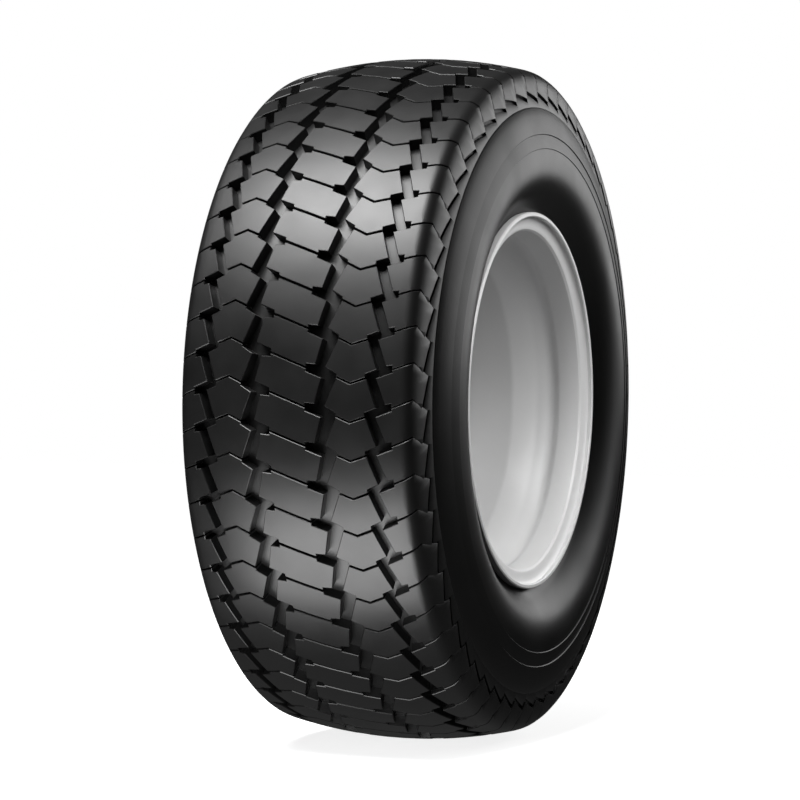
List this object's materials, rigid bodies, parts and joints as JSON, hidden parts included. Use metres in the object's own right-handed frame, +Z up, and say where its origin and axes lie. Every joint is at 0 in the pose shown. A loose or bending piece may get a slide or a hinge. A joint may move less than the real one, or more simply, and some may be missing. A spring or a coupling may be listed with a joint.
{
  "type": "implement tyre on its wheel",
  "caption": "Wide block-tread implement tyre mounted on an 18 inch drop-centre steel wheel with a bolt-on disc and tubeless valve.",
  "frame": {"origin": "the wheel's centre: the middle of the rim's width, on the axle line", "axes": "the axle line runs along Y, the outer face looks along -Y, the hub bolts on from +Y, +Z is up and the valve is at the bottom"},
  "size_m": [0.8996, 0.352, 0.8996],
  "materials": {
    "tread_rubber": "satin black tread rubber",
    "side_rubber": "satin black sidewall rubber",
    "liner_rubber": "matt black",
    "ply_cord": "rubbered textile cord",
    "bead_wire": "bronzed bead wire",
    "rim_paint": "light grey satin paint",
    "valve_brass": "turned brass",
    "valve_steel": "plated steel",
    "seal_rubber": "matt black",
    "cap_plastic": "matt black"
  },
  "bodies": {
    "wheel": {"tread_cap": "tread_rubber", "breaker_outer_ply": "ply_cord", "breaker_inner_ply": "ply_cord", "carcass_ply": "ply_cord", "inner_liner": "liner_rubber", "sidewall_outer": "side_rubber", "sidewall_inner": "side_rubber", "bead_core_outer": "bead_wire", "bead_core_inner": "bead_wire", "bead_filler_outer": "side_rubber", "bead_filler_inner": "side_rubber", "chafer_outer": "liner_rubber", "chafer_inner": "liner_rubber", "rim_barrel": "rim_paint", "wheel_disc": "rim_paint", "disc_weld": "rim_paint", "valve_stem": "valve_brass", "valve_grommet": "seal_rubber", "valve_washer": "valve_steel", "valve_nut": "valve_steel", "valve_core_barrel": "valve_brass", "valve_core_spring": "valve_steel"},
    "core": {"valve_core_pin": "valve_brass", "valve_core_seal": "seal_rubber"},
    "cap": {"valve_cap": "cap_plastic", "valve_cap_seal": "seal_rubber"}
  },
  "joints": [
    {"name": "core_press", "type": "slide", "parent": "wheel", "child": "core", "axis": [0, 0, -1], "range_m": [0, 0.0012], "stiffness_N_per_m": 600, "springref_m": -0.001, "deforming": ["valve_core_spring"]},
    {"name": "cap_lift", "type": "slide", "parent": "wheel", "child": "cap", "axis": [0, 0, 1], "range_m": [0, 0.03]}
  ]
}
